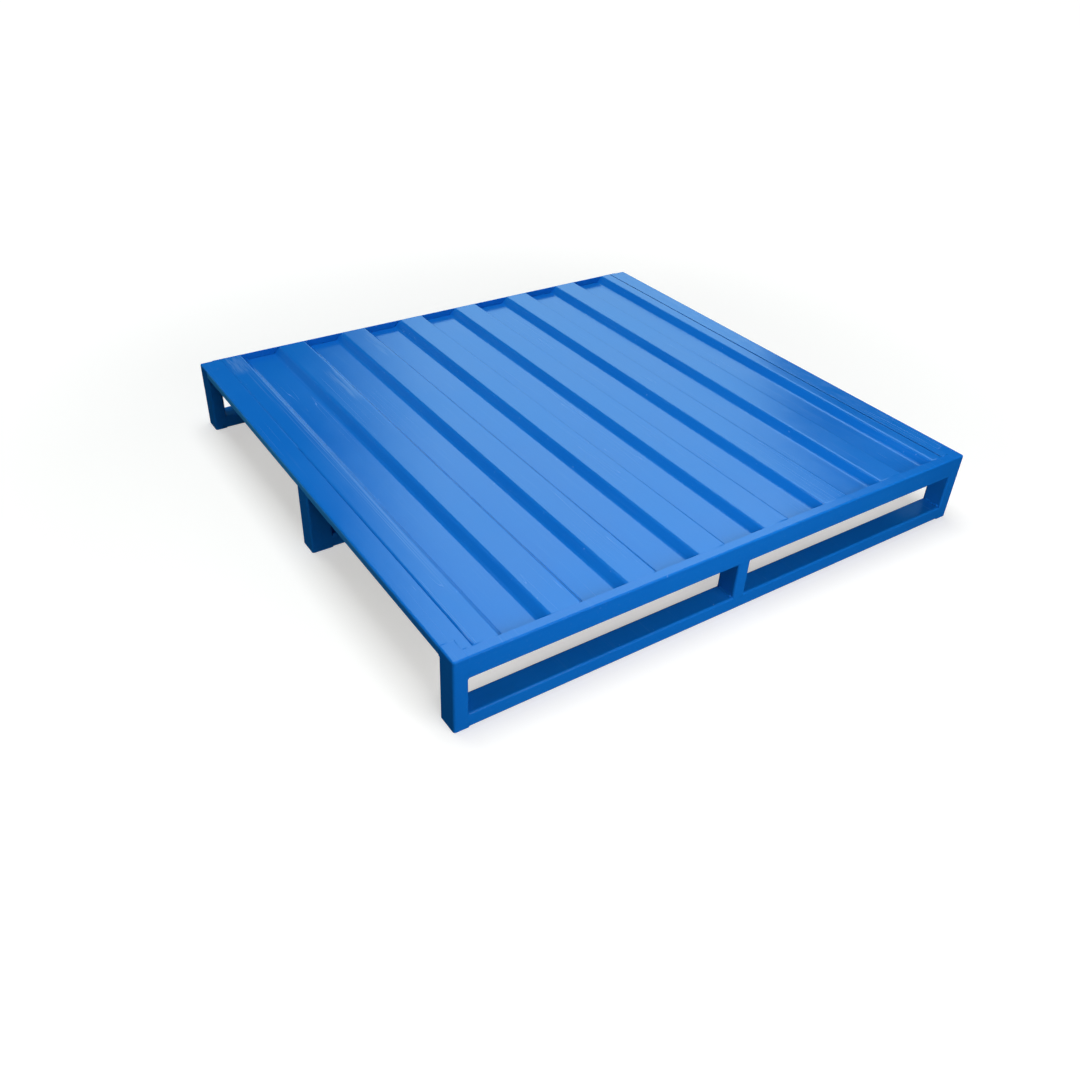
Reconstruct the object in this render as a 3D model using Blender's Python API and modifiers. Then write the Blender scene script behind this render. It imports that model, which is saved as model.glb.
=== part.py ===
"""Welded sheet-steel pallet: a corrugated deck on three ladder-frame runners, open to forks on four sides.

X runs along the front, Y from the front to the rear, Z up. The origin is on the floor, at the centre.
"""

import math

import bmesh
import bpy
from mathutils import Matrix, Vector

# Overall size, in metres.
WIDTH = 1.200
DEPTH = 1.150
HEIGHT = 0.150

# Clearance left between two pieces that touch.
GAP = 0.0003

# Runners: each has two end posts, and between them a bottom tube, a centre post and a top rail.
RUNNER_DEPTH = 0.045
BOTTOM_TUBE_HEIGHT = 0.030
WINDOW_HEIGHT = 0.075
POST_WIDTH = 0.028
MIDDLE_POST_WIDTH = 0.045
SECTION_WALL = 0.002
TUBE_CORNER = 0.0045
CHANNEL_CORNER = 0.0035
FRONT_FLANGE = 0.020

# Deck: ridges and valleys run from the front to the rear.
DECK_WALL = 0.0016
VALLEY_COUNT = 7
PITCH = 0.156
RIDGE_WIDTH = 0.060
CORRUGATION_DEPTH = 0.0145
WALL_RUN = 0.0145
DECK_CORNER = 0.0060
DECK_OFFSET = 0.008

# Side rails: a strip beside the deck, a web on the pallet's side and a short return underneath.
SIDE_FLANGE = 0.045
SIDE_WEB = 0.0184
SIDE_RETURN = 0.020

# Levels above the floor.
WINDOW_TOP = BOTTOM_TUBE_HEIGHT + WINDOW_HEIGHT
DECK_UNDERSIDE = HEIGHT - CORRUGATION_DEPTH - DECK_WALL
RAIL_TOP = DECK_UNDERSIDE - GAP
SIDE_RAIL_BASE = HEIGHT - SIDE_WEB
LIP_UNDERSIDE = HEIGHT - SECTION_WALL - GAP

# The deck starts behind the front channel's bend, the side rails behind its lip. Both stop at the rear web.
DECK_FRONT = -DEPTH / 2 + CHANNEL_CORNER
LIP_REAR = -DEPTH / 2 + FRONT_FLANGE + GAP
DECK_REAR = DEPTH / 2 - SECTION_WALL - GAP

# Inner faces of the corner posts, with clearance.
POST_INNER = WIDTH / 2 - POST_WIDTH - GAP
RUNNER_INNER = DEPTH / 2 - RUNNER_DEPTH - GAP

# How far a cutter stands clear of what it cuts.
CLEAR = 0.010

# Smoothness of a bend.
BEND_STEPS = 5

# A section is drawn in its own X and Y and runs along its own Z. These turn that run to a world axis.
ALONG_X = (math.radians(90), 0, math.radians(90))
ALONG_Y = (math.radians(90), 0, 0)
ALONG_Z = (0, 0, 0)

PAINT_BLUE = (0.009, 0.165, 0.590)
DECK_GLOSS = 0.25
FRAME_GLOSS = 0.32


def clear_scene():
    for item in list(bpy.data.objects):
        bpy.data.objects.remove(item, do_unlink=True)


def paint(name, roughness):
    """Gloss enamel over steel."""
    material = bpy.data.materials.new(name)
    material.use_nodes = True
    shader = material.node_tree.nodes["Principled BSDF"]
    shader.inputs["Base Color"].default_value = (*PAINT_BLUE, 1)
    shader.inputs["Roughness"].default_value = roughness
    shader.inputs["Metallic"].default_value = 0.0
    return material


def rounded(points, radius, closed=False):
    """The polyline with each corner turned into an arc of this radius."""
    corners = [Vector(point) for point in points]
    last = len(corners) - 1
    path = []
    for i, corner in enumerate(corners):
        if not closed and i in (0, last):
            path.append(corner)
            continue
        back = (corners[i - 1] - corner).normalized()
        ahead = (corners[(i + 1) % len(corners)] - corner).normalized()
        half = back.angle(ahead) / 2
        centre = corner + (back + ahead).normalized() * radius / math.sin(half)
        spoke = corner + back * radius / math.tan(half) - centre
        turn = math.copysign(math.pi - 2 * half, ahead.cross(back))
        for step in range(BEND_STEPS + 1):
            path.append(centre + Matrix.Rotation(turn * step / BEND_STEPS, 2) @ spoke)
    return path


def rectangle(width, height):
    return [
        (-width / 2, -height / 2),
        (width / 2, -height / 2),
        (width / 2, height / 2),
        (-width / 2, height / 2),
    ]


def place(item, location, turned, roughness, parent, collection):
    item.data.materials.append(paint(item.name + "_paint", roughness))
    item.location = location
    item.rotation_euler = turned
    item.parent = parent
    collection.objects.link(item)
    return item


def folded(name, path, length, wall, closed=False):
    """Sheet that follows the middle line of a cross-section for this length, centred on it."""
    shape = bmesh.new()
    corners = [shape.verts.new((x, y, -length / 2)) for x, y in path]
    edges = [shape.edges.new(pair) for pair in zip(corners, corners[1:])]
    if closed:
        edges.append(shape.edges.new((corners[-1], corners[0])))
    swept = bmesh.ops.extrude_edge_only(shape, edges=edges)["geom"]
    moved = [piece for piece in swept if isinstance(piece, bmesh.types.BMVert)]
    bmesh.ops.translate(shape, verts=moved, vec=(0, 0, length))
    bmesh.ops.recalc_face_normals(shape, faces=shape.faces)
    mesh = bpy.data.meshes.new(name)
    shape.to_mesh(mesh)
    shape.free()
    mesh.shade_smooth()
    item = bpy.data.objects.new(name, mesh)
    thicken = item.modifiers.new("Wall", "SOLIDIFY")
    thicken.thickness = wall
    thicken.offset = 0
    thicken.use_even_offset = True
    return item


def tube(name, width, height, length):
    """Rectangular hollow section of these outer sizes, open at both ends."""
    middle = rectangle(width - SECTION_WALL, height - SECTION_WALL)
    path = rounded(middle, TUBE_CORNER - SECTION_WALL / 2, closed=True)
    return folded(name, path, length, SECTION_WALL, closed=True)


def channel(name, path, length):
    """Open section folded from one strip."""
    bends = rounded(path, CHANNEL_CORNER - SECTION_WALL / 2)
    return folded(name, bends, length, SECTION_WALL)


def end_plate(name, width, height):
    """Flat plate that closes the end of a tube of these outer sizes, flush with it."""
    inset = 2 * (SECTION_WALL + GAP)
    outline = rectangle(width - inset, height - inset)
    outline = rounded(outline, TUBE_CORNER - SECTION_WALL - GAP, closed=True)
    curve = bpy.data.curves.new(name, "CURVE")
    curve.dimensions = "2D"
    curve.fill_mode = "BOTH"
    curve.extrude = SECTION_WALL / 2
    spline = curve.splines.new("POLY")
    spline.points.add(len(outline) - 1)
    for point, (x, y) in zip(spline.points, outline):
        point.co = (x, y, 0, 1)
    spline.use_cyclic_u = True
    return bpy.data.objects.new(name, curve)


def cutter(name, low, high, collection):
    """Box between two corners, for cutting other pieces with."""
    shape = bmesh.new()
    size = Vector(high) - Vector(low)
    middle = (Vector(high) + Vector(low)) / 2
    bmesh.ops.create_cube(shape, size=1, matrix=Matrix.Translation(middle) @ Matrix.Diagonal((*size, 1)))
    mesh = bpy.data.meshes.new(name)
    shape.to_mesh(mesh)
    shape.free()
    item = bpy.data.objects.new(name, mesh)
    item.hide_render = True
    item.display_type = "WIRE"
    collection.objects.link(item)
    return item


def cut(item, tools):
    for tool in tools:
        removal = item.modifiers.new(tool.name, "BOOLEAN")
        removal.operation = "DIFFERENCE"
        removal.solver = "EXACT"
        removal.object = tool


def deck_path():
    """Middle line of the deck across its ridges, with both edges turned down onto the runners."""
    ridge = HEIGHT - DECK_WALL / 2
    valley = ridge - CORRUGATION_DEPTH
    edge = WIDTH / 2 - SIDE_FLANGE - GAP - DECK_WALL / 2
    mouth = (PITCH - RIDGE_WIDTH) / 2
    floor = mouth - WALL_RUN
    path = [(-edge, DECK_UNDERSIDE), (-edge, ridge)]
    for i in range(VALLEY_COUNT):
        centre = DECK_OFFSET + (i - (VALLEY_COUNT - 1) / 2) * PITCH
        path += [
            (centre - mouth, ridge),
            (centre - floor, valley),
            (centre + floor, valley),
            (centre + mouth, ridge),
        ]
    path += [(edge, ridge), (edge, DECK_UNDERSIDE)]
    return rounded(path, DECK_CORNER - DECK_WALL / 2)


def side_rail(name, side):
    """Folded rail along one side of the deck. side is -1 on the left and 1 on the right."""
    web = side * (WIDTH - SECTION_WALL) / 2
    top = HEIGHT - SECTION_WALL / 2
    base = SIDE_RAIL_BASE + SECTION_WALL / 2
    inner = side * (WIDTH / 2 - SIDE_FLANGE)
    underneath = side * (WIDTH / 2 - SIDE_RETURN)
    path = [(underneath, base), (web, base), (web, top), (inner, top)]
    return channel(name, path, DECK_REAR - LIP_REAR)


def edge_channel(name, side, flange):
    """Top rail of an outer runner: a web on the face, a bottom flange and an inner seat for the deck.

    side is -1 at the front and 1 at the rear. flange is the width of the lip that covers the deck's end.
    """
    web = side * (DEPTH - SECTION_WALL) / 2
    seat = side * (DEPTH / 2 - RUNNER_DEPTH + SECTION_WALL / 2)
    top = HEIGHT - SECTION_WALL / 2
    base = WINDOW_TOP + SECTION_WALL / 2
    path = [(web, base), (seat, base), (seat, RAIL_TOP)]
    if flange:
        path = [(side * (DEPTH / 2 - flange), top), (web, top)] + path
    else:
        path = [(web, HEIGHT)] + path
    return channel(name, path, 2 * POST_INNER)


def build_deck(put, tools):
    """Deck sheet, with its ridges notched under the front lip."""
    notch = cutter(
        "lip_notch",
        (-WIDTH / 2 - CLEAR, DECK_FRONT - CLEAR, LIP_UNDERSIDE),
        (WIDTH / 2 + CLEAR, LIP_REAR, HEIGHT + CLEAR),
        tools,
    )
    deck = folded("deck_sheet", deck_path(), DECK_REAR - DECK_FRONT, DECK_WALL)
    put(deck, (0, (DECK_FRONT + DECK_REAR) / 2, 0), ALONG_Y, DECK_GLOSS)
    cut(deck, [notch])


def build_side_rails(put, tools):
    """Side rails, cut back round the corner posts and over the outer runners."""
    low = SIDE_RAIL_BASE - CLEAR
    under = {}
    for runner, side in (("front", -1), ("rear", 1)):
        y = sorted((side * RUNNER_INNER, side * (DEPTH / 2 + CLEAR)))
        edge = WIDTH / 2 + CLEAR
        under[side] = cutter(f"{runner}_under", (-edge, y[0], low), (edge, y[1], LIP_UNDERSIDE), tools)
    for hand, side in (("left", -1), ("right", 1)):
        rail = side_rail(f"{hand}_side_rail", side)
        put(rail, (0, (LIP_REAR + DECK_REAR) / 2, 0), ALONG_Y, DECK_GLOSS)
        x = sorted((side * POST_INNER, side * (WIDTH / 2 + CLEAR)))
        for runner, end in (("front", -1), ("rear", 1)):
            y = sorted((end * RUNNER_INNER, end * (DEPTH / 2 + CLEAR)))
            post = cutter(f"{runner}_{hand}_cope", (x[0], y[0], low), (x[1], y[1], HEIGHT + CLEAR), tools)
            cut(rail, [post, under[end]])


def build_runner(put, runner, y, end_post_width, end_post_height):
    """Bottom tube, three posts and two foot plates of one runner, with its middle plane at y."""
    length = WIDTH - 2 * (end_post_width + GAP)
    bottom = tube(f"{runner}_bottom_tube", RUNNER_DEPTH, BOTTOM_TUBE_HEIGHT, length)
    put(bottom, (0, y, BOTTOM_TUBE_HEIGHT / 2), ALONG_X, FRAME_GLOSS)
    centre = tube(f"{runner}_centre_post", POST_WIDTH, RUNNER_DEPTH, WINDOW_HEIGHT - 2 * GAP)
    put(centre, (0, y, BOTTOM_TUBE_HEIGHT + WINDOW_HEIGHT / 2), ALONG_Z, FRAME_GLOSS)
    for hand, side in (("left", -1), ("right", 1)):
        x = side * (WIDTH - end_post_width) / 2
        post = tube(f"{runner}_{hand}_post", end_post_width, RUNNER_DEPTH, end_post_height)
        put(post, (x, y, end_post_height / 2), ALONG_Z, FRAME_GLOSS)
        foot = end_plate(f"{runner}_{hand}_foot_plate", end_post_width, RUNNER_DEPTH)
        put(foot, (x, y, SECTION_WALL / 2), ALONG_Z, FRAME_GLOSS)


def build_outer_runner(put, runner, side, flange):
    """Front or rear runner, with the channel that frames the deck's end and a cap on each corner post."""
    y = side * (DEPTH - RUNNER_DEPTH) / 2
    build_runner(put, runner, y, POST_WIDTH, HEIGHT)
    put(edge_channel(f"{runner}_edge_channel", side, flange), (0, 0, 0), ALONG_X, FRAME_GLOSS)
    for hand, end in (("left", -1), ("right", 1)):
        x = end * (WIDTH - POST_WIDTH) / 2
        cap = end_plate(f"{runner}_{hand}_cap_plate", POST_WIDTH, RUNNER_DEPTH)
        put(cap, (x, y, HEIGHT - SECTION_WALL / 2), ALONG_Z, FRAME_GLOSS)


def build_middle_runner(put):
    build_runner(put, "middle", 0, MIDDLE_POST_WIDTH, SIDE_RAIL_BASE - GAP)
    height = RAIL_TOP - WINDOW_TOP
    rail = tube("middle_top_tube", RUNNER_DEPTH, height, WIDTH - 2 * (MIDDLE_POST_WIDTH + GAP))
    put(rail, (0, 0, WINDOW_TOP + height / 2), ALONG_X, FRAME_GLOSS)


def build_pallet():
    clear_scene()
    collection = bpy.data.collections.new("steel_pallet")
    tools = bpy.data.collections.new("cutters")
    bpy.context.scene.collection.children.link(collection)
    bpy.context.scene.collection.children.link(tools)
    frame = bpy.data.objects.new("pallet_origin", None)
    collection.objects.link(frame)

    def put(item, location, turned, roughness):
        return place(item, location, turned, roughness, frame, collection)

    build_deck(put, tools)
    build_side_rails(put, tools)
    build_outer_runner(put, "front", -1, FRONT_FLANGE)
    build_outer_runner(put, "rear", 1, 0)
    build_middle_runner(put)


build_pallet()
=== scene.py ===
"""Looks of a welded sheet-steel pallet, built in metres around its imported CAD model."""

import math

import bmesh
import bpy
from mathutils import Matrix, Vector, noise


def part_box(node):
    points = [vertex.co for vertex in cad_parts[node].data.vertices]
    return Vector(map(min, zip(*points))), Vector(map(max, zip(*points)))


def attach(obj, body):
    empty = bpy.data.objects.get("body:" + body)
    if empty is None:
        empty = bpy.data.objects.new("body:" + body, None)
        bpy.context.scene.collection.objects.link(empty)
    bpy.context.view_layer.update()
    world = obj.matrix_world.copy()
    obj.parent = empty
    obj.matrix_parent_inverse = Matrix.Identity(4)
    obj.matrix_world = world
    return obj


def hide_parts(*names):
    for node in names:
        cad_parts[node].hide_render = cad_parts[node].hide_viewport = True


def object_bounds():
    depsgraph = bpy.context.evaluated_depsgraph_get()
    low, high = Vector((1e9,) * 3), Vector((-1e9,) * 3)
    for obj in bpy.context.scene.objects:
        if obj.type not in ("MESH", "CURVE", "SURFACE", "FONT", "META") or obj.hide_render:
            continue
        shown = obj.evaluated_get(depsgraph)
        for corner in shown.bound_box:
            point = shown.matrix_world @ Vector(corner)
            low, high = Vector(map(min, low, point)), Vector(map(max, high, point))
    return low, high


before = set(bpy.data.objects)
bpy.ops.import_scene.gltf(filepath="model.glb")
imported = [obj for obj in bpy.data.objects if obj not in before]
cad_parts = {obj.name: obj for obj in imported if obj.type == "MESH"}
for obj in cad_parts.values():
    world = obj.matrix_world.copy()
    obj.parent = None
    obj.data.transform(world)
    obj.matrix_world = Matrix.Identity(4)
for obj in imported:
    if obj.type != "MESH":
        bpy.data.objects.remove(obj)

CAD_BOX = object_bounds()

# Sheet and tube sections, as in the CAD model.
GAP = 0.0003
SECTION_WALL = 0.002
TUBE_CORNER = 0.0045
CHANNEL_CORNER = 0.0035
FRONT_FLANGE = 0.020
DECK_WALL = 0.0016
VALLEY_COUNT = 7
PITCH = 0.156
RIDGE_WIDTH = 0.060
MOUTH = (PITCH - RIDGE_WIDTH) / 2
CORRUGATION_DEPTH = 0.0145
WALL_RUN = 0.0145
DECK_OFFSET = 0.008
SIDE_RETURN = 0.020

# Folds of the deck: the ones up to each ridge are rolled softer than the ones down from it.
SOFT_FOLD = 0.0120
TIGHT_FOLD = 0.0050

# How finely the folded pieces are meshed.
BEND_STEPS = 8
CROWN_STEPS = 6
FLAT_PITCH = 0.020
RUN_PITCH = 0.030
EDGE_ROUND = 0.0004
DECK_EDGE_ROUND = 0.0003

# How far the flats of each kind of piece wander from true.
DECK_BUCKLE = 0.00022
CHANNEL_BUCKLE = 0.00018
TUBE_BUCKLE = 0.00012
RAIL_BUCKLE = 0.00010
POST_BUCKLE = 0.00008

# How far a cutter stands clear of what it cuts.
CLEAR = 0.010

LEFT_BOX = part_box("left_side_rail")
DECK_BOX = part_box("deck_sheet")
FRONT_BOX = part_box("front_edge_channel")
REAR_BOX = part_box("rear_edge_channel")
HALF_WIDTH = -LEFT_BOX[0].x
HALF_DEPTH = REAR_BOX[1].y
HEIGHT = FRONT_BOX[1].z
RUNNER_DEPTH = FRONT_BOX[1].y - FRONT_BOX[0].y
RUNNER_INNER = HALF_DEPTH - RUNNER_DEPTH
WINDOW_TOP = FRONT_BOX[0].z
DECK_UNDERSIDE = DECK_BOX[0].z
SEAT_TOP = DECK_UNDERSIDE - GAP
RAIL_BASE = LEFT_BOX[0].z
LIP_REAR = FRONT_FLANGE - HALF_DEPTH
SIDE_FLANGE = LEFT_BOX[1].x - LEFT_BOX[0].x
BOTTOM_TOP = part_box("front_bottom_tube")[1].z
POST_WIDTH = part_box("front_left_post")[1].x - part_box("front_left_post")[0].x
MIDDLE_POST_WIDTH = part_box("middle_left_post")[1].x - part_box("middle_left_post")[0].x


def valley_centre(i):
    """X of a valley's middle, counted from the left."""
    return DECK_OFFSET + (i - (VALLEY_COUNT - 1) / 2) * PITCH


# ---------------------------------------------------------------- folded steel

def rounded(points, radius, closed=False):
    """The polyline's points with its corners turned into arcs, and 1 for each point on a bend."""
    corners = [Vector(point) for point in points]
    radii = radius if isinstance(radius, list) else [radius] * len(corners)
    last = len(corners) - 1
    path = []
    bends = []
    for i, (corner, radius) in enumerate(zip(corners, radii)):
        if not closed and i in (0, last):
            path.append(corner)
            bends.append(0.0)
            continue
        back = (corners[i - 1] - corner).normalized()
        ahead = (corners[(i + 1) % len(corners)] - corner).normalized()
        half = back.angle(ahead) / 2
        centre = corner + (back + ahead).normalized() * radius / math.sin(half)
        spoke = corner + back * radius / math.tan(half) - centre
        turn = math.copysign(math.pi - 2 * half, ahead.cross(back))
        for step in range(BEND_STEPS + 1):
            path.append(centre + Matrix.Rotation(turn * step / BEND_STEPS, 2) @ spoke)
            bends.append(1.0)
    return path, bends


def refined(path, bends, closed):
    """The path with points added along its long flats."""
    fine = []
    marks = []
    count = len(path) if closed else len(path) - 1
    for i in range(count):
        start = path[i]
        end = path[(i + 1) % len(path)]
        parts = max(1, math.ceil((end - start).length / FLAT_PITCH - 0.01))
        for part in range(parts):
            fine.append(start.lerp(end, part / parts))
            marks.append(bends[i] if part == 0 else 0.0)
    if not closed:
        fine.append(path[-1])
        marks.append(0.0)
    return fine, marks


def path_normals(path, closed):
    """Mitred normals, to the left of the path's run, one for each point."""
    found = []
    last = len(path) - 1
    for i, point in enumerate(path):
        before = point - path[i - 1] if (closed or i > 0) else path[1] - path[0]
        after = path[(i + 1) % len(path)] - point if (closed or i < last) else point - path[i - 1]
        before = before.normalized()
        after = after.normalized()
        normal = Vector((-before.y, before.x)) + Vector((-after.y, after.x))
        normal.normalize()
        found.append(normal / max(0.5, normal.dot(Vector((-after.y, after.x)))))
    return found


def in_frame(axis, u, v, run):
    """A section's point (u, v) at this place along the axis, in the frame of the whole pallet."""
    return {"X": (run, u, v), "Y": (u, run, v), "Z": (u, v, run)}[axis]


def sheet_mesh(name, axis, path, bends, start, end, wall, closed=False, buckle=0.0, seed=0.0):
    """A folded sheet with real thickness. buckle is how far its flats wander from true, in metres."""
    path, bends = refined(path, bends, closed)
    normals = path_normals(path, closed)
    stations = max(2, math.ceil((end - start) / RUN_PITCH) + 1)
    shape = bmesh.new()
    worn = shape.verts.layers.float.new("worn")
    rings = []
    for station in range(stations):
        share = station / (stations - 1)
        run = start + (end - start) * share
        calm = min(1.0, 8 * share, 8 * (1 - share))
        cut = 1.0 if station in (0, stations - 1) else 0.0
        ring = []
        for point, normal, bend in zip(path, normals, bends):
            place = in_frame(axis, point.x, point.y, run)
            slow = noise.noise(Vector(place) * 5.0 + Vector((seed, 0, 0)))
            quick = noise.noise(Vector(place) * 14.0 + Vector((0, seed, 0)))
            wander = buckle * calm * (0.65 * slow + 0.35 * quick) * (1 - 0.6 * bend)
            pair = []
            for side in (0.5, -0.5):
                u, v = point + normal * (side * wall + wander)
                vert = shape.verts.new(in_frame(axis, u, v, run))
                vert[worn] = max(bend, cut)
                pair.append(vert)
            ring.append(pair)
        rings.append(ring)
    columns = len(path)
    spans = columns if closed else columns - 1
    for near, far in zip(rings, rings[1:]):
        for i in range(spans):
            j = (i + 1) % columns
            shape.faces.new((near[i][0], near[j][0], far[j][0], far[i][0]))
            shape.faces.new((near[i][1], far[i][1], far[j][1], near[j][1]))
        if not closed:
            shape.faces.new((near[0][0], far[0][0], far[0][1], near[0][1]))
            shape.faces.new((near[-1][0], near[-1][1], far[-1][1], far[-1][0]))
    for ring, flip in ((rings[0], 1), (rings[-1], -1)):
        for i in range(spans):
            j = (i + 1) % columns
            shape.faces.new((ring[i][0], ring[i][1], ring[j][1], ring[j][0])[::flip])
    bmesh.ops.recalc_face_normals(shape, faces=shape.faces)
    mesh = bpy.data.meshes.new(name)
    shape.to_mesh(mesh)
    shape.free()
    mesh.shade_smooth()
    return bpy.data.objects.new(name, mesh)


def flatten(item):
    """Lights each flat as a flat, up to the bend beside it."""
    weighted = item.modifiers.new("Flat flats", "WEIGHTED_NORMAL")
    weighted.weight = 100
    return item


def soften(item, width=EDGE_ROUND):
    """Rounds the cut edges as enamel does."""
    edge = item.modifiers.new("Enamel edge", "BEVEL")
    edge.width = width
    edge.segments = 2
    edge.limit_method = "ANGLE"
    edge.angle_limit = math.radians(50)
    return flatten(item)


def cut_back(item, boxes):
    """Takes these boxes, each given by two corners, out of a piece."""
    scene = bpy.context.scene.collection
    scene.objects.link(item)
    tools = []
    for low, high in boxes:
        shape = bmesh.new()
        low, high = Vector(low), Vector(high)
        spread = Matrix.Diagonal((*(high - low), 1))
        bmesh.ops.create_cube(shape, size=1, matrix=Matrix.Translation((low + high) / 2) @ spread)
        mesh = bpy.data.meshes.new("cutter")
        shape.to_mesh(mesh)
        shape.free()
        tool = bpy.data.objects.new("cutter", mesh)
        scene.objects.link(tool)
        tools.append(tool)
        removal = item.modifiers.new("Cut", "BOOLEAN")
        removal.operation = "DIFFERENCE"
        removal.solver = "EXACT"
        removal.object = tool
    graph = bpy.context.evaluated_depsgraph_get()
    mesh = bpy.data.meshes.new_from_object(item.evaluated_get(graph))
    item.modifiers.clear()
    item.data = mesh
    for tool in tools:
        bpy.data.objects.remove(tool)
    scene.objects.unlink(item)
    return item


def install(item, slot, *nodes):
    """Adds a piece to the pallet, in place of these CAD nodes."""
    bpy.context.scene.collection.objects.link(item)
    item.data.materials.append(PAINTS[slot])
    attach(item, "root")
    if nodes:
        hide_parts(*nodes)


def tube(node, axis, buckle=TUBE_BUCKLE):
    """Rectangular tube in the place of a CAD tube, with its seam weld hidden inside."""
    low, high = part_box(node)
    across = {"X": ("y", "z"), "Y": ("x", "z"), "Z": ("x", "y")}[axis]
    inset = SECTION_WALL / 2
    u0, u1 = getattr(low, across[0]) + inset, getattr(high, across[0]) - inset
    v0, v1 = getattr(low, across[1]) + inset, getattr(high, across[1]) - inset
    corners = [(u0, v0), (u1, v0), (u1, v1), (u0, v1)]
    path, bends = rounded(corners, TUBE_CORNER - inset, closed=True)
    start, end = getattr(low, axis.lower()), getattr(high, axis.lower())
    seed = low.x * 7 + low.y * 13 + low.z * 29
    item = sheet_mesh(node + "_formed", axis, path, bends, start, end, SECTION_WALL, True, buckle, seed)
    install(soften(item), "frame_paint", node)


def channel(node, axis, corners, wall, buckle, seed):
    """Open folded section along the whole length of a CAD node."""
    low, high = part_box(node)
    path, bends = rounded(corners, CHANNEL_CORNER - wall / 2)
    start, end = getattr(low, axis.lower()), getattr(high, axis.lower())
    return sheet_mesh(node + "_formed", axis, path, bends, start, end, wall, False, buckle, seed)


def edge_channel(node, side, flange):
    """Front or rear top rail. flange is the width of its lip over the deck, or 0."""
    wall = SECTION_WALL
    web = side * (HALF_DEPTH - wall / 2)
    seat = side * (HALF_DEPTH - RUNNER_DEPTH + wall / 2)
    base = WINDOW_TOP + wall / 2
    corners = [(web, base), (seat, base), (seat, SEAT_TOP)]
    if flange:
        top = HEIGHT - wall / 2
        corners = [(side * (HALF_DEPTH - flange), top), (web, top)] + corners
    else:
        corners = [(web, HEIGHT)] + corners
    item = channel(node, "X", corners, wall, CHANNEL_BUCKLE, side * 3.1)
    install(soften(item), "frame_paint", node)


def side_rail(node, side):
    """Strip, web and return, cut back round the corner posts and over the outer runners."""
    wall = SECTION_WALL
    web = side * (HALF_WIDTH - wall / 2)
    lip = side * (HALF_WIDTH - SIDE_FLANGE)
    under = side * (HALF_WIDTH - SIDE_RETURN)
    top = HEIGHT - wall / 2
    base = RAIL_BASE + wall / 2
    corners = [(under, base), (web, base), (web, top), (lip, top)]
    item = channel(node, "Y", corners, wall, RAIL_BUCKLE, side * 5.7)
    post = sorted((side * (HALF_WIDTH - POST_WIDTH - GAP), side * (HALF_WIDTH + CLEAR)))
    boxes = []
    for end in (-1, 1):
        span = sorted((end * (RUNNER_INNER - GAP), end * (HALF_DEPTH + CLEAR)))
        boxes.append(((post[0], span[0], RAIL_BASE - CLEAR), (post[1], span[1], HEIGHT + CLEAR)))
        boxes.append(((-1, span[0], RAIL_BASE - CLEAR), (1, span[1], HEIGHT - wall - GAP)))
    install(soften(cut_back(item, boxes)), "deck_paint", node)


def deck():
    """Corrugated sheet, with its ridges notched under the front lip."""
    ridge = HEIGHT - DECK_WALL / 2
    valley = ridge - CORRUGATION_DEPTH
    edge = HALF_WIDTH - SIDE_FLANGE - GAP - DECK_WALL / 2
    floor = MOUTH - WALL_RUN
    corners = [(-edge, DECK_UNDERSIDE), (-edge, ridge)]
    for i in range(VALLEY_COUNT):
        centre = valley_centre(i)
        corners += [
            (centre - MOUTH, ridge),
            (centre - floor, valley),
            (centre + floor, valley),
            (centre + MOUTH, ridge),
        ]
    corners += [(edge, ridge), (edge, DECK_UNDERSIDE)]
    tight = TIGHT_FOLD - DECK_WALL / 2
    soft = SOFT_FOLD - DECK_WALL / 2
    radii = [tight, tight] + [tight, tight, soft, soft] * VALLEY_COUNT + [tight, tight]
    path, bends = rounded(corners, radii)
    low, high = DECK_BOX
    name = "deck_sheet_formed"
    item = sheet_mesh(name, "Y", path, bends, low.y, high.y, DECK_WALL, False, DECK_BUCKLE, 1.3)
    notch = ((-1, -1, HEIGHT - SECTION_WALL - GAP), (1, LIP_REAR + GAP, 1))
    install(soften(cut_back(item, [notch]), DECK_EDGE_ROUND), "deck_paint", "deck_sheet")


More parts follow.
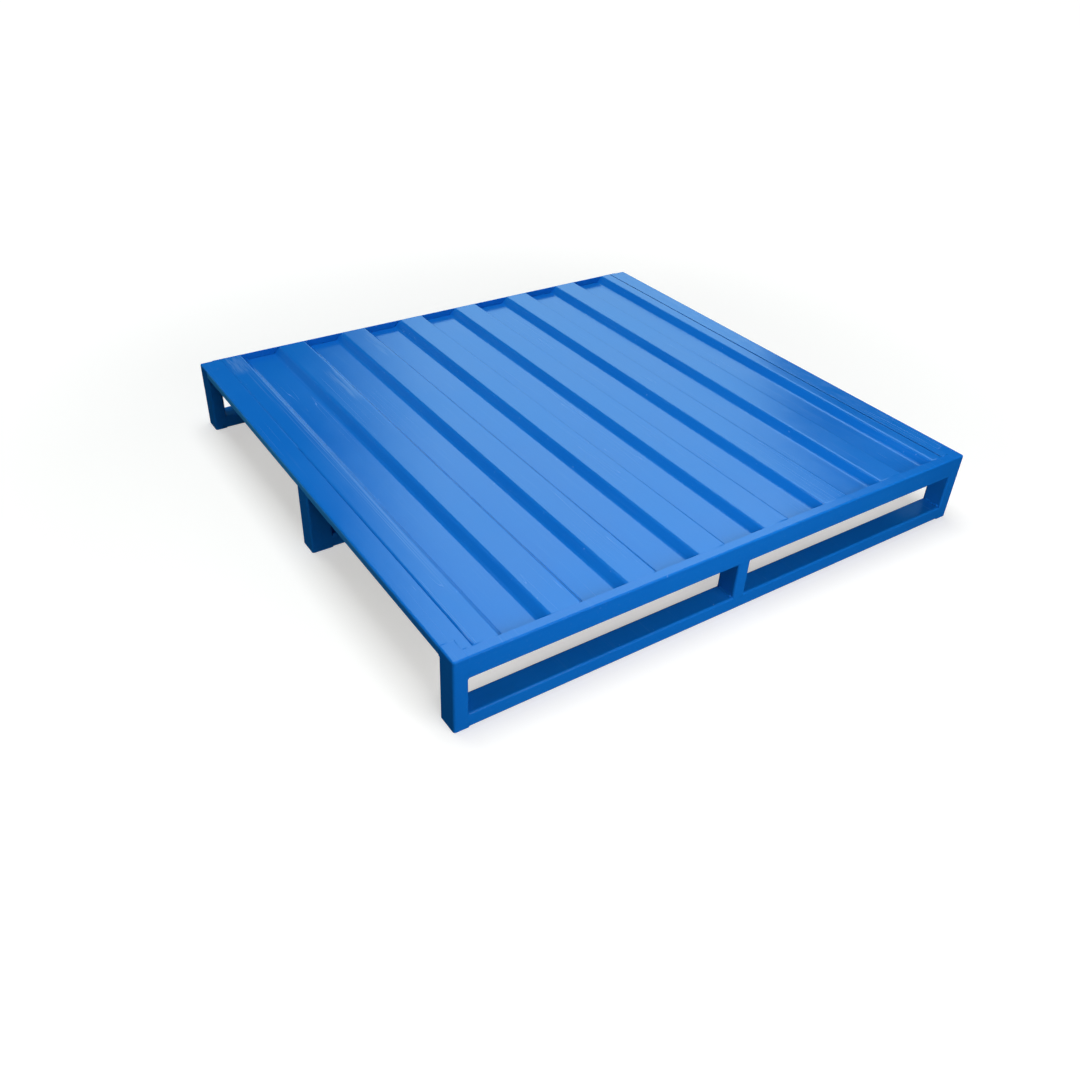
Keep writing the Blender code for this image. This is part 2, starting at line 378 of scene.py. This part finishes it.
def corner_post(runner, side, end):
    """Outer post, welded shut at its top and ground to the shape of the rails that meet there.

    side is -1 at the left, end is -1 at the front.
    """
    hand = "left" if side < 0 else "right"
    low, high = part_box(f"{runner}_{hand}_post")
    step = 0.0002
    bore_depth = 0.012
    square = 0.0003

    def ring(level, wall, crown, front_square, side_square):
        """Outline at a level: wall insets all four sides, crown only the two outer ones."""
        points = []
        for sx, sy, first in ((-1, -1, 180), (1, -1, 270), (1, 1, 0), (-1, 1, 90)):
            radius = TUBE_CORNER - wall
            if (sx, sy) == (side, end):
                radius -= crown
            elif (sx, sy) == (-side, end) and front_square:
                radius = square
            elif (sx, sy) == (side, -end) and side_square:
                radius = square
            x = (high.x if sx > 0 else low.x) - sx * (radius + wall + (crown if sx == side else 0))
            y = (high.y if sy > 0 else low.y) - sy * (radius + wall + (crown if sy == end else 0))
            for k in range(BEND_STEPS + 1):
                turn = math.radians(first + 90 * k / BEND_STEPS)
                points.append(Vector((x + radius * math.cos(turn), y + radius * math.sin(turn), level)))
        return points

    rings = [ring(bore_depth, SECTION_WALL, 0, False, False), ring(0, SECTION_WALL, 0, False, False)]
    rings += [ring(0, EDGE_ROUND, 0, True, False), ring(EDGE_ROUND, 0, 0, True, False)]
    rings += [ring(BOTTOM_TOP - step, 0, 0, True, False), ring(BOTTOM_TOP + step, 0, 0, False, False)]
    rings += [ring(WINDOW_TOP - step, 0, 0, False, False), ring(WINDOW_TOP + step, 0, 0, True, False)]
    rings += [ring(RAIL_BASE - step, 0, 0, True, False), ring(RAIL_BASE + step, 0, 0, True, True)]
    for k in range(CROWN_STEPS + 1):
        turn = math.radians(90 * k / CROWN_STEPS)
        crown = CHANNEL_CORNER * (1 - math.cos(turn))
        rings.append(ring(HEIGHT - CHANNEL_CORNER * (1 - math.sin(turn)), 0, crown, True, True))
    shape = bmesh.new()
    add_bar(shape, rings)
    item = flatten(closed_piece(f"{runner}_{hand}_post_formed", shape))
    install(item, "frame_paint", f"{runner}_{hand}_post", f"{runner}_{hand}_cap_plate")


# ---------------------------------------------------------------- welds

WELD_LEG = 0.0026
LEFT_SEAM_START = 0.12
MOUTH_CLEAR = 0.0025
STITCH_LEG = 0.0038
STITCH_HALF = 0.016
WELD_PITCH = 0.0009
RIPPLE_PITCH = 0.0031
DRESSED_CROWN = 0.00005
DRESSED_SINK = 0.00004
DRESSED_LAP = 0.0014
SEAM_HALF = 0.0015
SEAM_DEPTH = 0.0004
BITE = 0.0005

# A square joint is dressed as one up to a bend this tight.
BUTT = 0.0006

# How far a dressed seam stops short of the bend or the corner at its end.
SHORT = 0.0036


def add_bar(shape, rings):
    """Closed body through these rings of points."""
    made = [[shape.verts.new(point) for point in ring] for ring in rings]
    count = len(made[0])
    for near, far in zip(made, made[1:]):
        for i in range(count):
            j = (i + 1) % count
            shape.faces.new((near[i], near[j], far[j], far[i]))
    shape.faces.new(made[0][::-1])
    shape.faces.new(made[-1])


def dressed(shape, corner, out, into, along, start, end, radius):
    """Weld ground almost flush, in the groove between a square end and a bend of this radius.

    out points away from the visible face, and into from the square end towards the bend.
    """
    lap = DRESSED_LAP
    section = [
        (-DRESSED_SINK, -lap),
        (0.6 * DRESSED_CROWN, -lap / 3),
        (DRESSED_CROWN, radius / 2),
        (0.6 * DRESSED_CROWN, radius + lap / 3),
        (-DRESSED_SINK, radius + lap),
        (-BITE, radius + lap),
    ]
    for step in range(CROWN_STEPS + 1):
        turn = math.radians(90 * step / CROWN_STEPS)
        reach = radius - BITE if radius > BITE else 0
        section.append((-radius + reach * math.cos(turn), radius - reach * math.sin(turn)))
    section += [(-max(radius, BITE), -BITE), (-BITE, -lap)]
    rings = []
    for share in (0, 0.02, 0.5, 0.98, 1):
        place = corner + along * (start + (end - start) * share)
        sunk = BITE / 2 if share in (0, 1) else 0
        rings.append([place + out * (n - sunk) + into * t for n, t in section])
    add_bar(shape, rings)


def fillet(shape, corner, a, b, along, start, end, leg=WELD_LEG):
    """Rippled fillet weld in the inside corner between two faces that look along a and b."""
    count = max(6, round((end - start) / WELD_PITCH))
    rings = []
    for k in range(count + 1):
        run = start + (end - start) * k / count
        reach = min(run - start, end - run)
        taper = math.sqrt(min(1.0, 0.12 + reach / leg))
        ripple = 1 + 0.13 * abs(math.sin(math.pi * run / RIPPLE_PITCH))
        drift = 1 + 0.10 * noise.noise((corner + along * run) * 90)
        size = leg * taper * ripple * drift
        place = corner + along * run
        face = [(1.0, 0.0), (0.80, 0.36), (0.60, 0.60), (0.36, 0.80), (0.0, 1.0)]
        ring = [place - (a + b) * BITE, place + a * size - b * BITE]
        ring += [place + a * size * p + b * size * q for p, q in face]
        ring.append(place + b * size - a * BITE)
        rings.append(ring)
    add_bar(shape, rings)


def closed_piece(name, shape):
    """Object from a body whose skin is closed, smooth but for its sharp edges."""
    bmesh.ops.recalc_face_normals(shape, faces=shape.faces)
    mesh = bpy.data.meshes.new(name)
    shape.to_mesh(mesh)
    shape.free()
    mesh.shade_smooth()
    mesh.set_sharp_from_angle(angle=math.radians(55))
    return bpy.data.objects.new(name, mesh)


def weld_piece(name, shape):
    """Adds a set of weld beads, which replaces no CAD node."""
    install(closed_piece(name, shape), "frame_paint")


RIGHT, BACK, UP = Vector((1, 0, 0)), Vector((0, 1, 0)), Vector((0, 0, 1))


def post_welds(shape, runner):
    """Welds of the three posts to the bottom tube and to the top rail of one runner."""
    low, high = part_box(f"{runner}_bottom_tube")
    middle = runner == "middle"
    top_bend = TUBE_CORNER if middle else CHANNEL_CORNER
    end_width = MIDDLE_POST_WIDTH if middle else POST_WIDTH
    for face, out in ((low.y, -BACK), (high.y, BACK)):
        across = Vector((0, face, 0))
        half = POST_WIDTH / 2 - 0.002
        dressed(shape, across + UP * BOTTOM_TOP, out, -UP, RIGHT, -half, half, TUBE_CORNER)
        dressed(shape, across + UP * WINDOW_TOP, out, UP, RIGHT, -half, half, top_bend)
        outside = not middle and abs(face) > RUNNER_INNER + 0.01
        bend = BUTT if outside else TUBE_CORNER
        top = HEIGHT if outside else SEAT_TOP
        for side in (-1, 1):
            inner = RIGHT * side * (HALF_WIDTH - end_width)
            dressed(shape, across + inner, out, RIGHT * side, UP, 0.0030, BOTTOM_TOP - 0.0034, bend)
            dressed(shape, across + inner, out, RIGHT * side, UP, WINDOW_TOP + SHORT, top - SHORT, bend)
    y0, y1 = low.y + 0.0055, high.y - 0.0055
    for side in (-1, 1):
        for level, way in ((BOTTOM_TOP, UP), (WINDOW_TOP, -UP)):
            fillet(shape, Vector((side * POST_WIDTH / 2, 0, level)), RIGHT * side, way, BACK, y0, y1)
            edge = side * (HALF_WIDTH - end_width)
            fillet(shape, Vector((edge, 0, level)), -RIGHT * side, way, BACK, y0, y1)


def bend_seam(shape, x, end):
    """Dressed seam that carries the front or rear face's joint over the bend onto the top."""
    rings = []
    for k in range(9):
        turn = math.radians(-8 + 106 * k / 8)
        way = Vector((0, end * math.cos(turn), math.sin(turn)))
        centre = Vector((x, end * (HALF_DEPTH - CHANNEL_CORNER), HEIGHT - CHANNEL_CORNER))
        section = [(-SEAM_HALF, -SEAM_DEPTH), (-SEAM_HALF, 0), (0, DRESSED_CROWN)]
        section += [(SEAM_HALF, 0), (SEAM_HALF, -SEAM_DEPTH)]
        rings.append([centre + RIGHT * t + way * (CHANNEL_CORNER + n) for t, n in section])
    add_bar(shape, rings)


def corner_welds(shape):
    """Dressed seams on the top and the two sides, where corner posts, rails and front lip meet."""
    for side in (-1, 1):
        out = RIGHT * side
        inner = side * (HALF_WIDTH - POST_WIDTH)
        for end in (-1, 1):
            line = Vector((inner, 0, HEIGHT))
            span = sorted((end * (HALF_DEPTH - SHORT), end * (RUNNER_INNER + 0.0014)))
            dressed(shape, line, UP, out, BACK, *span, BUTT)
            span = sorted((inner, side * (HALF_WIDTH - SHORT)))
            joint = Vector((0, end * RUNNER_INNER, HEIGHT))
            dressed(shape, joint, UP, BACK * -end, RIGHT, *span, BUTT)
            side_joint = Vector((side * HALF_WIDTH, end * RUNNER_INNER, 0))
            dressed(shape, side_joint, out, BACK * -end, UP, RAIL_BASE + SHORT, HEIGHT - SHORT, BUTT)
            bend_seam(shape, inner, end)
        span = sorted((side * (HALF_WIDTH - SIDE_FLANGE), inner))
        dressed(shape, Vector((0, LIP_REAR, HEIGHT)), UP, BACK, RIGHT, *span, BUTT)
        low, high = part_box("middle_left_post")
        span = (low.y + 0.004, high.y - 0.004)
        dressed(shape, out * HALF_WIDTH + UP * RAIL_BASE, out, UP, BACK, *span, CHANNEL_CORNER)


def lip_welds(shape):
    """Dressed seams between the front lip and the eight ridges."""
    starts = [SIDE_FLANGE - HALF_WIDTH]
    ends = []
    for i in range(VALLEY_COUNT):
        centre = valley_centre(i)
        ends.append(centre - MOUTH - MOUTH_CLEAR)
        starts.append(centre + MOUTH + MOUTH_CLEAR)
    ends.append(HALF_WIDTH - SIDE_FLANGE)
    for start, end in zip(starts, ends):
        dressed(shape, Vector((0, LIP_REAR, HEIGHT)), UP, BACK, RIGHT, start, end, BUTT)


def strip_seams(shape):
    """Ground seams beside the deck: the right one all along, the left one at the rear."""
    for side, start in ((-1, LEFT_SEAM_START), (1, LIP_REAR)):
        edge = Vector((side * (HALF_WIDTH - SIDE_FLANGE), 0, HEIGHT))
        dressed(shape, edge, UP, RIGHT * side, BACK, start, HALF_DEPTH - 0.003, BUTT)


def deck_stitches(shape):
    """Short fillets under the deck, on both sides of each valley, where it lies on the runners."""
    low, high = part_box("middle_top_tube")
    rows = [(low.y, -BACK), (high.y, BACK)]
    rows += [(FRONT_BOX[1].y, BACK), (REAR_BOX[0].y, -BACK)]
    for i in range(VALLEY_COUNT):
        centre = valley_centre(i)
        for y, way in rows:
            joint = Vector((0, y, SEAT_TOP))
            fillet(shape, joint, way, -UP, RIGHT, centre - STITCH_HALF, centre + STITCH_HALF, STITCH_LEG)


# ---------------------------------------------------------------- enamel

class Nodes:
    """Short names for shader nodes."""

    def __init__(self, owner):
        self.tree = owner.node_tree
        self.shader = self.tree.nodes.get("Principled BSDF")

    def link(self, value, socket):
        if isinstance(value, bpy.types.NodeSocket):
            self.tree.links.new(value, socket)
        elif value is not None:
            socket.default_value = value

    def add(self, kind, **settings):
        node = self.tree.nodes.new(kind)
        for key, value in settings.items():
            setattr(node, key, value)
        return node

    def math(self, operation, a, b=None, clamp=False):
        node = self.add("ShaderNodeMath", operation=operation, use_clamp=clamp)
        self.link(a, node.inputs[0])
        self.link(b, node.inputs[1])
        return node.outputs[0]

    def stretched(self, vector, scale, turn=0.0, shift=(0, 0, 0)):
        node = self.add("ShaderNodeMapping")
        self.link(vector, node.inputs["Vector"])
        node.inputs["Location"].default_value = shift
        node.inputs["Rotation"].default_value = (0, 0, math.radians(turn))
        node.inputs["Scale"].default_value = scale
        return node.outputs[0]

    def noise(self, vector, scale, detail=3.0, roughness=0.5):
        node = self.add("ShaderNodeTexNoise")
        self.link(vector, node.inputs["Vector"])
        node.inputs["Scale"].default_value = scale
        node.inputs["Detail"].default_value = detail
        node.inputs["Roughness"].default_value = roughness
        return node.outputs["Fac"]

    def ranged(self, value, low, high, to_low=0.0, to_high=1.0):
        node = self.add("ShaderNodeMapRange")
        node.interpolation_type = "SMOOTHSTEP"
        self.link(value, node.inputs["Value"])
        node.inputs["From Min"].default_value = low
        node.inputs["From Max"].default_value = high
        node.inputs["To Min"].default_value = to_low
        node.inputs["To Max"].default_value = to_high
        return node.outputs[0]

    def mix(self, share, a, b):
        node = self.add("ShaderNodeMix", data_type="RGBA")
        self.link(share, node.inputs[0])
        self.link(a, node.inputs[6])
        self.link(b, node.inputs[7])
        return node.outputs[2]

    def bump(self, height, strength, distance, normal=None):
        node = self.add("ShaderNodeBump")
        self.link(height, node.inputs["Height"])
        node.inputs["Strength"].default_value = strength
        node.inputs["Distance"].default_value = distance
        self.link(normal, node.inputs["Normal"])
        return node.outputs[0]


def scratches(nodes, where, turn, across, along, width, shift):
    """Thin broken lines that run along one direction."""
    lines = nodes.noise(nodes.stretched(where, (across, along, 1), turn, shift), 1.0, 1.0)
    thin = nodes.math("ABSOLUTE", nodes.math("SUBTRACT", lines, 0.5))
    line = nodes.ranged(thin, 0.0, width, 1.0, 0.0)
    broken = nodes.noise(nodes.stretched(where, (9, 3, 9), turn, shift), 1.0, 3.0)
    return nodes.math("MULTIPLY", line, nodes.ranged(broken, 0.52, 0.66))


def patch(nodes, where, centre, half, grain, start, strength):
    """Worn patch round (x, y), with half its width and length, broken up by noise stretched by grain."""
    place = nodes.add("ShaderNodeSeparateXYZ")
    nodes.link(where, place.inputs[0])
    mask = strength
    for socket, middle, reach in zip(("X", "Y"), centre, half):
        away = nodes.math("ABSOLUTE", nodes.math("SUBTRACT", place.outputs[socket], middle))
        mask = nodes.math("MULTIPLY", nodes.ranged(away, 0.45 * reach, reach, 1.0, 0.0), mask)
    broken = nodes.noise(nodes.stretched(where, (*grain, 30)), 1.0, 4.0, 0.62)
    return nodes.math("MULTIPLY", mask, nodes.ranged(broken, start, start + 0.26))


# Worn places on the deck: centre, half size, noise grain, the noise where wear starts, and strength.
DECK_WEAR = (
    ((-0.515, 0.08), (0.014, 0.56), (420, 1.6), 0.44, 0.42),
    ((-0.362, 0.33), (0.018, 0.10), (260, 9), 0.36, 0.34),
    ((-0.530, 0.53), (0.024, 0.06), (160, 12), 0.36, 0.30),
    ((-0.200, 0.48), (0.030, 0.10), (160, 12), 0.40, 0.16),
    ((0.578, 0.00), (0.024, 0.62), (60, 18), 0.42, 0.12),
)

# Painted reflection: faces of the deck paint that look to the left are painted paler towards the rear,
# in place of the brighter reflection they show there.
PAINTED_REFLECTION_BLUE = (0.06, 0.42, 1.0)


def enamel(name, colour, pale, dark, gloss, scuffing, shift, wear_and_reflection=()):
    """Blue stoving enamel on steel: orange peel, slow waves, fine scratches, dust and rubbed edges."""
    material = bpy.data.materials.new(name)
    material.use_nodes = True
    nodes = Nodes(material)
    where = nodes.add("ShaderNodeTexCoord").outputs["Object"]
    surface = nodes.add("ShaderNodeNewGeometry").outputs["Normal"]
    facing = nodes.add("ShaderNodeSeparateXYZ")
    nodes.link(surface, facing.inputs[0])
    flat = nodes.ranged(facing.outputs["Z"], 0.75, 0.98)

    slow = nodes.noise(nodes.stretched(where, (1, 1, 1), 0, shift), 4.5, 4.0)
    brushed = nodes.noise(nodes.stretched(where, (150, 5, 150), 2, shift), 1.0, 4.0, 0.6)
    speckle = nodes.noise(where, 420.0, 2.0)
    fine = scratches(nodes, where, 3, 60, 1.3, 0.006, shift)
    rubbed = nodes.math("MULTIPLY", fine, nodes.math("MULTIPLY", flat, scuffing))

    worn = nodes.add("ShaderNodeAttribute", attribute_name="worn").outputs["Fac"]
    chip = nodes.ranged(nodes.noise(where, 95.0, 4.0, 0.7), 0.665, 0.72)
    chipped = nodes.math("MULTIPLY", chip, nodes.ranged(worn, 0.5, 1.0, 0.0, 0.35))

    tone = nodes.mix(nodes.ranged(slow, 0.30, 0.72), (*dark, 1), (*colour, 1))
    tone = nodes.mix(nodes.math("MULTIPLY", nodes.ranged(brushed, 0.55, 0.80), 0.05), tone, (*pale, 1))
    tone = nodes.mix(nodes.math("MULTIPLY", rubbed, 0.35), tone, (*pale, 1))
    for mark in wear_and_reflection:
        tone = nodes.mix(nodes.math("MULTIPLY", patch(nodes, where, *mark), flat), tone, (*pale, 1))
    # Given wear, a painted reflection is also added: left-facing faces are mixed towards a paler blue,
    # more so towards the rear.
    if wear_and_reflection:
        place = nodes.add("ShaderNodeSeparateXYZ")
        nodes.link(where, place.inputs[0])
        leftward = nodes.ranged(facing.outputs["X"], -0.95, -0.75, 0.95, 0.0)
        rearward = nodes.ranged(place.outputs["Y"], -0.60, 0.20, 0.10, 1.0)
        tone = nodes.mix(nodes.math("MULTIPLY", leftward, rearward), tone, (*PAINTED_REFLECTION_BLUE, 1))
    tone = nodes.mix(chipped, tone, (*pale, 1))
    nodes.link(tone, nodes.shader.inputs["Base Color"])

    rough = nodes.ranged(slow, 0.25, 0.75, gloss - 0.03, gloss + 0.05)
    rough = nodes.math("ADD", rough, nodes.math("MULTIPLY", brushed, 0.06))
    rough = nodes.math("ADD", rough, nodes.math("MULTIPLY", rubbed, 0.25), clamp=True)
    nodes.link(rough, nodes.shader.inputs["Roughness"])

    peel = nodes.noise(where, 260.0, 2.0)
    relief = nodes.bump(nodes.noise(where, 16.0, 2.0), 0.25, 0.0012)
    relief = nodes.bump(peel, 0.10, 0.0004, relief)
    relief = nodes.bump(speckle, 0.05, 0.0002, relief)
    hollow = nodes.math("MULTIPLY", nodes.math("MAXIMUM", rubbed, chipped), -1)
    relief = nodes.bump(hollow, 0.3, 0.0001, relief)
    nodes.link(relief, nodes.shader.inputs["Normal"])

    nodes.shader.inputs["IOR"].default_value = 1.5
    nodes.shader.inputs["Specular IOR Level"].default_value = 0.5
    return material


BLUE = (0.0050, 0.162, 0.620)
DEEP_BLUE = (0.0042, 0.150, 0.605)
PALE_BLUE = (0.22, 0.42, 0.78)
PAINTS = {
    "deck_paint": enamel("enamel_deck", BLUE, PALE_BLUE, DEEP_BLUE, 0.13, 1.0, (3, 1, 4), DECK_WEAR),
    "frame_paint": enamel("enamel_frame", BLUE, PALE_BLUE, DEEP_BLUE, 0.13, 0.5, (8, 2, 6)),
    "plate_paint": enamel("enamel_plate", BLUE, PALE_BLUE, DEEP_BLUE, 0.30, 0.4, (5, 7, 9)),
}


# ---------------------------------------------------------------- assembly

deck()
side_rail("left_side_rail", -1)
side_rail("right_side_rail", 1)
edge_channel("front_edge_channel", -1, FRONT_FLANGE)
edge_channel("rear_edge_channel", 1, 0)
tube("middle_top_tube", "X")
for runner in ("front", "middle", "rear"):
    tube(f"{runner}_bottom_tube", "X")
    tube(f"{runner}_centre_post", "Z", POST_BUCKLE)
for side, hand in ((-1, "left"), (1, "right")):
    tube(f"middle_{hand}_post", "Z", POST_BUCKLE)
    corner_post("front", side, -1)
    corner_post("rear", side, 1)
for runner in ("front", "middle", "rear"):
    seams = bmesh.new()
    post_welds(seams, runner)
    weld_piece(f"{runner}_runner_welds", seams)
seams = bmesh.new()
corner_welds(seams)
lip_welds(seams)
strip_seams(seams)
weld_piece("corner_welds", seams)
seams = bmesh.new()
deck_stitches(seams)
weld_piece("deck_stitch_welds", seams)
for node_name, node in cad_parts.items():
    if node_name.endswith("foot_plate"):
        node.data.materials.clear()
        node.data.materials.append(PAINTS["plate_paint"])


# ---------------------------------------------------------------- camera, floor and light

FLOOR_LEVEL = CAD_BOX[0][2]

# The doorway that the paint mirrors: where each side fades in or out, in degrees of azimuth, and how
# bright it is at the bottom and at the top.
DOOR_LEFT = (20.0, 28.5)
DOOR_RIGHT = (47.6, 49.6)
DOOR_WIDENS_FROM = 26.0
DOOR_HEIGHT = (10.0, 38.0)
DOOR_RADIANCE = (0.92, 2.28)
DOOR_SILL = (-2.0, 6.0)
DOOR_LINTEL = (52.0, 66.0)
DOOR_COLOUR = (0.57, 0.99, 1.20)
LOW_WALL = (0.004, 0.032, 0.085)
HIGH_WALL = (0.020, 0.145, 0.285)

# The floor glows, and more so away from the pallet: reach and strength.
GLOW_REACH = (0.9, 3.0)
GLOW_STRENGTH = (0.50, 1.0)
FLOOR_SIDES = 96


def camera():
    lens = bpy.data.cameras.new("camera")
    lens.sensor_width = 36
    lens.lens = 33.314
    item = bpy.data.objects.new("camera", lens)
    item.location = (-1.1309, -1.5380, 1.1747)
    item.rotation_euler = [math.radians(angle) for angle in (54.112, -2.199, -33.587)]
    bpy.context.scene.collection.objects.link(item)
    bpy.context.scene.camera = item


def studio_floor():
    """Pale floor that curves up into a backdrop far behind."""
    shape = bmesh.new()
    profile = [(2, 0), (5, 0), (9, 0), (12, 0.35), (14, 1.4), (15.5, 3.2), (16.3, 6), (16.6, 12)]
    turns = [2 * math.pi * i / FLOOR_SIDES for i in range(FLOOR_SIDES)]
    rings = []
    for radius, rise in profile:
        points = [(radius * math.cos(a), radius * math.sin(a), FLOOR_LEVEL + rise) for a in turns]
        rings.append([shape.verts.new(point) for point in points])
    shape.faces.new(rings[0])
    for inner, outer in zip(rings, rings[1:]):
        for i in range(FLOOR_SIDES):
            j = (i + 1) % FLOOR_SIDES
            shape.faces.new((inner[i], outer[i], outer[j], inner[j]))
    mesh = bpy.data.meshes.new("studio_floor")
    shape.to_mesh(mesh)
    shape.free()
    mesh.shade_smooth()
    item = bpy.data.objects.new("studio_floor", mesh)
    material = bpy.data.materials.new("studio_floor")
    material.use_nodes = True
    shader = material.node_tree.nodes["Principled BSDF"]
    shader.inputs["Base Color"].default_value = (0.60, 0.60, 0.60, 1)
    shader.inputs["Roughness"].default_value = 1.0
    shader.inputs["Specular IOR Level"].default_value = 0.0
    shader.inputs["Emission Color"].default_value = (1.0, 0.985, 0.97, 1)
    nodes = Nodes(material)
    reach = nodes.add("ShaderNodeVectorMath", operation="LENGTH")
    nodes.link(nodes.add("ShaderNodeTexCoord").outputs["Object"], reach.inputs[0])
    glow = nodes.ranged(reach.outputs["Value"], *GLOW_REACH, *GLOW_STRENGTH)
    nodes.link(glow, shader.inputs["Emission Strength"])
    mesh.materials.append(material)
    item.visible_diffuse = False
    item.visible_glossy = False
    bpy.context.scene.collection.objects.link(item)


def softbox(name, azimuth, elevation, distance, size, radiance, colour):
    """Rectangular light that faces the pallet. Azimuth 0 is straight behind it, and grows to the right.

    No light is mirrored in the paint: only the room is.
    """
    lamp = bpy.data.lights.new(name, "AREA")
    lamp.shape = "RECTANGLE"
    lamp.size, lamp.size_y = size
    lamp.energy = 4 * size[0] * size[1] * radiance
    lamp.color = colour
    item = bpy.data.objects.new(name, lamp)
    turn, tilt = math.radians(azimuth), math.radians(elevation)
    way = Vector((math.sin(turn) * math.cos(tilt), math.cos(turn) * math.cos(tilt), math.sin(tilt)))
    item.location = way * distance + Vector((0, 0, 0.1))
    item.rotation_euler = way.to_track_quat("Z", "Y").to_euler()
    item.visible_camera = False
    item.visible_glossy = False
    bpy.context.scene.collection.objects.link(item)


def studio_world():
    """A dim room with one tall bright doorway behind the pallet, wider towards its top.

    The room is only mirrored: the lights do the lighting.
    """
    world = bpy.data.worlds.new("studio")
    world.use_nodes = True
    bpy.context.scene.world = world
    world.cycles_visibility.diffuse = False
    nodes = Nodes(world)
    way = nodes.add("ShaderNodeSeparateXYZ")
    nodes.link(nodes.add("ShaderNodeTexCoord").outputs["Generated"], way.inputs[0])
    azimuth = nodes.math("DEGREES", nodes.math("ARCTAN2", way.outputs["X"], way.outputs["Y"]))
    elevation = nodes.math("DEGREES", nodes.math("ARCSINE", way.outputs["Z"]))
    widening = nodes.math("MAXIMUM", nodes.math("SUBTRACT", elevation, DOOR_WIDENS_FROM), 0.0)
    left = nodes.ranged(azimuth, *DOOR_LEFT)
    right = nodes.ranged(nodes.math("SUBTRACT", azimuth, widening), *DOOR_RIGHT, 1.0, 0.0)
    radiance = nodes.ranged(elevation, *DOOR_HEIGHT, *DOOR_RADIANCE)
    sill = nodes.ranged(elevation, *DOOR_SILL)
    lintel = nodes.ranged(elevation, *DOOR_LINTEL, 1.0, 0.0)
    across = nodes.math("MULTIPLY", left, right)
    door = nodes.math("MULTIPLY", across, nodes.math("MULTIPLY", sill, lintel))
    walls = nodes.mix(sill, (*LOW_WALL, 1), (*HIGH_WALL, 1))
    room = nodes.add("ShaderNodeVectorMath", operation="SCALE")
    room.inputs[0].default_value = DOOR_COLOUR
    nodes.link(nodes.math("MULTIPLY", door, radiance), room.inputs["Scale"])
    total = nodes.add("ShaderNodeVectorMath", operation="ADD")
    nodes.link(room.outputs[0], total.inputs[0])
    nodes.link(walls, total.inputs[1])
    nodes.link(total.outputs[0], nodes.tree.nodes["Background"].inputs["Color"])


def light():
    studio_world()
    softbox("overhead", 0, 80, 5.0, (3.0, 3.0), 4.9, (0.95, 0.99, 1.0))
    softbox("front", 184, 17, 1.8, (1.6, 1.0), 3.1, (1.0, 0.99, 0.98))
    softbox("left_fill", -100, 21, 2.37, (1.2, 0.8), 2.0, (0.95, 1.0, 0.88))
    softbox("right_fill", 97, 20, 2.6, (1.2, 0.8), 1.5, (0.95, 1.0, 0.95))
    softbox("rear_fill", -15, 18, 6.0, (3.0, 2.0), 2.2, (0.9, 0.97, 1.0))
    bpy.context.scene.view_settings.view_transform = "Standard"


camera()
studio_floor()
light()
